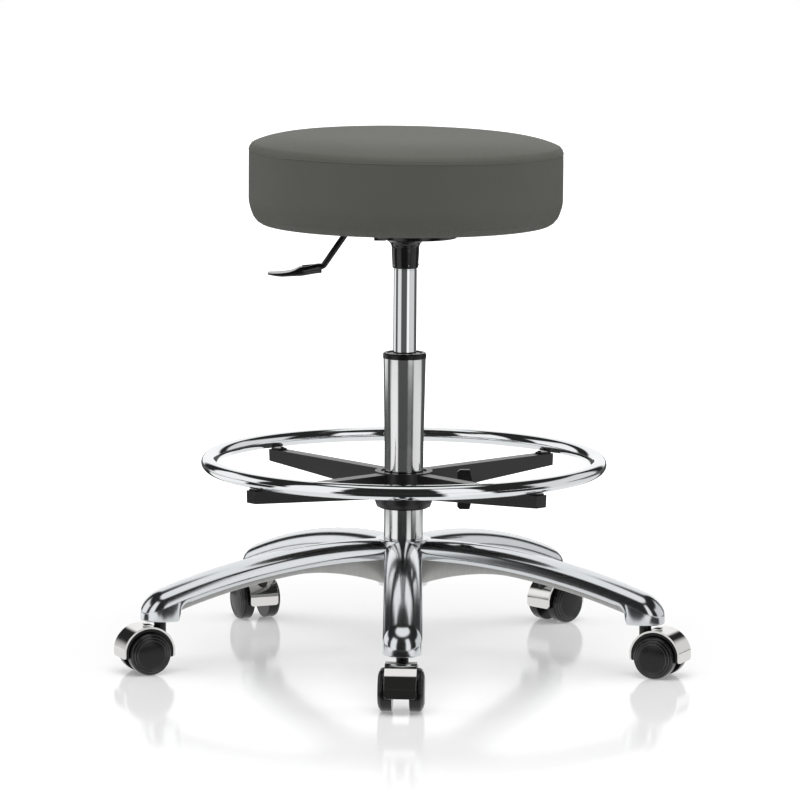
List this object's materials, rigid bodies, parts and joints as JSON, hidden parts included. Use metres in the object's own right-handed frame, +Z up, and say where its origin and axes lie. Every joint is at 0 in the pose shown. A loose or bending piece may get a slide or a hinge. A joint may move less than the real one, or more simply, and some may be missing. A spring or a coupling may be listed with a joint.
{
  "type": "swivel stool",
  "caption": "Round cushioned swivel stool with a gas-lift column, a chrome foot ring on a clamped spider, a polished star base and hooded twin-wheel casters.",
  "frame": {"origin": "on the floor, on the axis of the column", "axes": "+Z up along the column; -Y points at the front leg; +X to the right of somebody who looks at the front leg; the height lever points along -X"},
  "size_m": [0.7415, 0.7087, 0.6871],
  "materials": {
    "upholstery": "smooth olive-grey vinyl with a low sheen and a fine grain",
    "plywood": "raw birch plywood",
    "chrome": "bright chrome plate",
    "polished_aluminium": "mirror-polished on the rounded tops, as cast on the side walls",
    "aluminium_parts": "machined",
    "black_cast": "black powder coat, satin",
    "black_steel": "black enamel, glossy",
    "zinc_steel": "zinc plate",
    "black_plastic": "moulded black plastic, semi-gloss",
    "wheel_plastic": "glossy black nylon with a ring groove",
    "grey_plastic": "acetal",
    "pale_plastic": "natural acetal",
    "rubber": "moulded rubber"
  },
  "bodies": {
    "base": {"star_base": "polished_aluminium", "column_tube": "chrome", "rim_collar": "black_plastic", "guide_bush": "pale_plastic", "bottom_plate": "zinc_steel", "lower_race": "zinc_steel", "caster_stems": "zinc_steel"},
    "rod": {"piston_rod": "chrome", "piston": "aluminium_parts", "upper_race": "zinc_steel", "bump_stop": "rubber", "rod_clip": "zinc_steel"},
    "cage": {"ball_cage": "zinc_steel"},
    "seat": {"seat_cushion": "upholstery", "seat_board": "plywood", "seat_tee_nuts": "zinc_steel", "seat_plate": "black_steel", "seat_bolts": "black_steel", "cone_socket": "black_steel", "lever_pin": "zinc_steel", "pressure_tube": "chrome", "rod_guide": "grey_plastic"},
    "lever": {"lever_rod": "black_steel", "lever_paddle": "black_plastic"},
    "pin": {"release_pin": "zinc_steel"},
    "sleeve": {"spider_sleeve": "black_plastic"},
    "ring": {"foot_ring": "chrome", "ring_spider": "black_cast", "ring_clips": "black_steel", "clip_screws": "black_steel", "clamp_pad": "grey_plastic"},
    "wing": {"clamp_screw": "zinc_steel", "clamp_wing": "black_plastic"},
    "caster_front": {"caster_body_front": "black_plastic", "hood_front": "chrome", "axle_front": "zinc_steel"},
    "wheel_a_front": {"wheel_a_front": "wheel_plastic"},
    "wheel_b_front": {"wheel_b_front": "wheel_plastic"},
    "caster_right": {"caster_body_right": "black_plastic", "hood_right": "chrome", "axle_right": "zinc_steel"},
    "wheel_a_right": {"wheel_a_right": "wheel_plastic"},
    "wheel_b_right": {"wheel_b_right": "wheel_plastic"},
    "caster_back_right": {"caster_body_back_right": "black_plastic", "hood_back_right": "chrome", "axle_back_right": "zinc_steel"},
    "wheel_a_back_right": {"wheel_a_back_right": "wheel_plastic"},
    "wheel_b_back_right": {"wheel_b_back_right": "wheel_plastic"},
    "caster_back_left": {"caster_body_back_left": "black_plastic", "hood_back_left": "chrome", "axle_back_left": "zinc_steel"},
    "wheel_a_back_left": {"wheel_a_back_left": "wheel_plastic"},
    "wheel_b_back_left": {"wheel_b_back_left": "wheel_plastic"},
    "caster_left": {"caster_body_left": "black_plastic", "hood_left": "chrome", "axle_left": "zinc_steel"},
    "wheel_a_left": {"wheel_a_left": "wheel_plastic"},
    "wheel_b_left": {"wheel_b_left": "wheel_plastic"}
  },
  "joints": [
    {"name": "seat_swivel", "type": "hinge", "parent": "base", "child": "rod", "pos_m": [0, 0, 0.1], "axis": [0, 0, 1], "continuous": true},
    {"name": "seat_lift", "type": "slide", "parent": "rod", "child": "seat", "axis": [0, 0, 1], "range_m": [-0.105, 0.095]},
    {"name": "bearing_cage_turn", "type": "hinge", "parent": "base", "child": "cage", "pos_m": [0, 0, 0.1], "axis": [0, 0, 1], "continuous": true},
    {"name": "lever_tilt", "type": "hinge", "parent": "seat", "child": "lever", "pos_m": [-0.033, 0, 0.564], "axis": [0, 1, 0], "range_deg": [0, 4.5], "stiffness_Nm_per_rad": 5},
    {"name": "pin_press", "type": "slide", "parent": "seat", "child": "pin", "axis": [0, 0, 1], "range_m": [-0.0027, 0]},
    {"name": "ring_height", "type": "slide", "parent": "base", "child": "sleeve", "axis": [0, 0, 1], "range_m": [-0.038, 0.03]},
    {"name": "ring_turn", "type": "hinge", "parent": "sleeve", "child": "ring", "pos_m": [0, 0, 0.2], "axis": [0, 0, 1], "continuous": true},
    {"name": "wing_turn", "type": "hinge", "parent": "ring", "child": "wing", "pos_m": [0.07, 0, 0.22408], "axis": [1, 0, 0], "range_deg": [0, 360]},
    {"name": "front_caster_swivel", "type": "hinge", "parent": "base", "child": "caster_front", "pos_m": [0, -0.328, 0.0675], "axis": [0, 0, 1], "continuous": true},
    {"name": "front_wheel_a_roll", "type": "hinge", "parent": "caster_front", "child": "wheel_a_front", "pos_m": [-0.0011, -0.34897, 0.0275], "axis": [0.9986, -0.0523, 0], "continuous": true},
    {"name": "front_wheel_b_roll", "type": "hinge", "parent": "caster_front", "child": "wheel_b_front", "pos_m": [-0.0011, -0.34897, 0.0275], "axis": [0.9986, -0.0523, 0], "continuous": true},
    {"name": "right_caster_swivel", "type": "hinge", "parent": "base", "child": "caster_right", "pos_m": [0.31195, -0.10136, 0.0675], "axis": [0, 0, 1], "continuous": true},
    {"name": "right_wheel_a_roll", "type": "hinge", "parent": "caster_right", "child": "wheel_a_right", "pos_m": [0.33098, -0.11023, 0.0275], "axis": [0.4226, 0.9063, 0], "continuous": true},
    {"name": "right_wheel_b_roll", "type": "hinge", "parent": "caster_right", "child": "wheel_b_right", "pos_m": [0.33098, -0.11023, 0.0275], "axis": [0.4226, 0.9063, 0], "continuous": true},
    {"name": "back_right_caster_swivel", "type": "hinge", "parent": "base", "child": "caster_back_right", "pos_m": [0.19279, 0.26536, 0.0675], "axis": [0, 0, 1], "continuous": true},
    {"name": "back_right_wheel_a_roll", "type": "hinge", "parent": "caster_back_right", "child": "wheel_a_back_right", "pos_m": [0.2079, 0.27994, 0.0275], "axis": [-0.6947, 0.7193, 0], "continuous": true},
    {"name": "back_right_wheel_b_roll", "type": "hinge", "parent": "caster_back_right", "child": "wheel_b_back_right", "pos_m": [0.2079, 0.27994, 0.0275], "axis": [-0.6947, 0.7193, 0], "continuous": true},
    {"name": "back_left_caster_swivel", "type": "hinge", "parent": "base", "child": "caster_back_left", "pos_m": [-0.19279, 0.26536, 0.0675], "axis": [0, 0, 1], "continuous": true},
    {"name": "back_left_wheel_a_roll", "type": "hinge", "parent": "caster_back_left", "child": "wheel_a_back_left", "pos_m": [-0.20133, 0.28454, 0.0275], "axis": [-0.9135, -0.4067, 0], "continuous": true},
    {"name": "back_left_wheel_b_roll", "type": "hinge", "parent": "caster_back_left", "child": "wheel_b_back_left", "pos_m": [-0.20133, 0.28454, 0.0275], "axis": [-0.9135, -0.4067, 0], "continuous": true},
    {"name": "left_caster_swivel", "type": "hinge", "parent": "base", "child": "caster_left", "pos_m": [-0.31195, -0.10136, 0.0675], "axis": [0, 0, 1], "continuous": true},
    {"name": "left_wheel_a_roll", "type": "hinge", "parent": "caster_left", "child": "wheel_a_left", "pos_m": [-0.33128, -0.10956, 0.0275], "axis": [0.3907, -0.9205, 0], "continuous": true},
    {"name": "left_wheel_b_roll", "type": "hinge", "parent": "caster_left", "child": "wheel_b_left", "pos_m": [-0.33128, -0.10956, 0.0275], "axis": [0.3907, -0.9205, 0], "continuous": true}
  ],
  "couplings": [
    {"joint": "bearing_cage_turn", "follows": "seat_swivel", "ratio": 0.5},
    {"joint": "pin_press", "follows": "lever_tilt", "m_per_rad": -0.033}
  ]
}
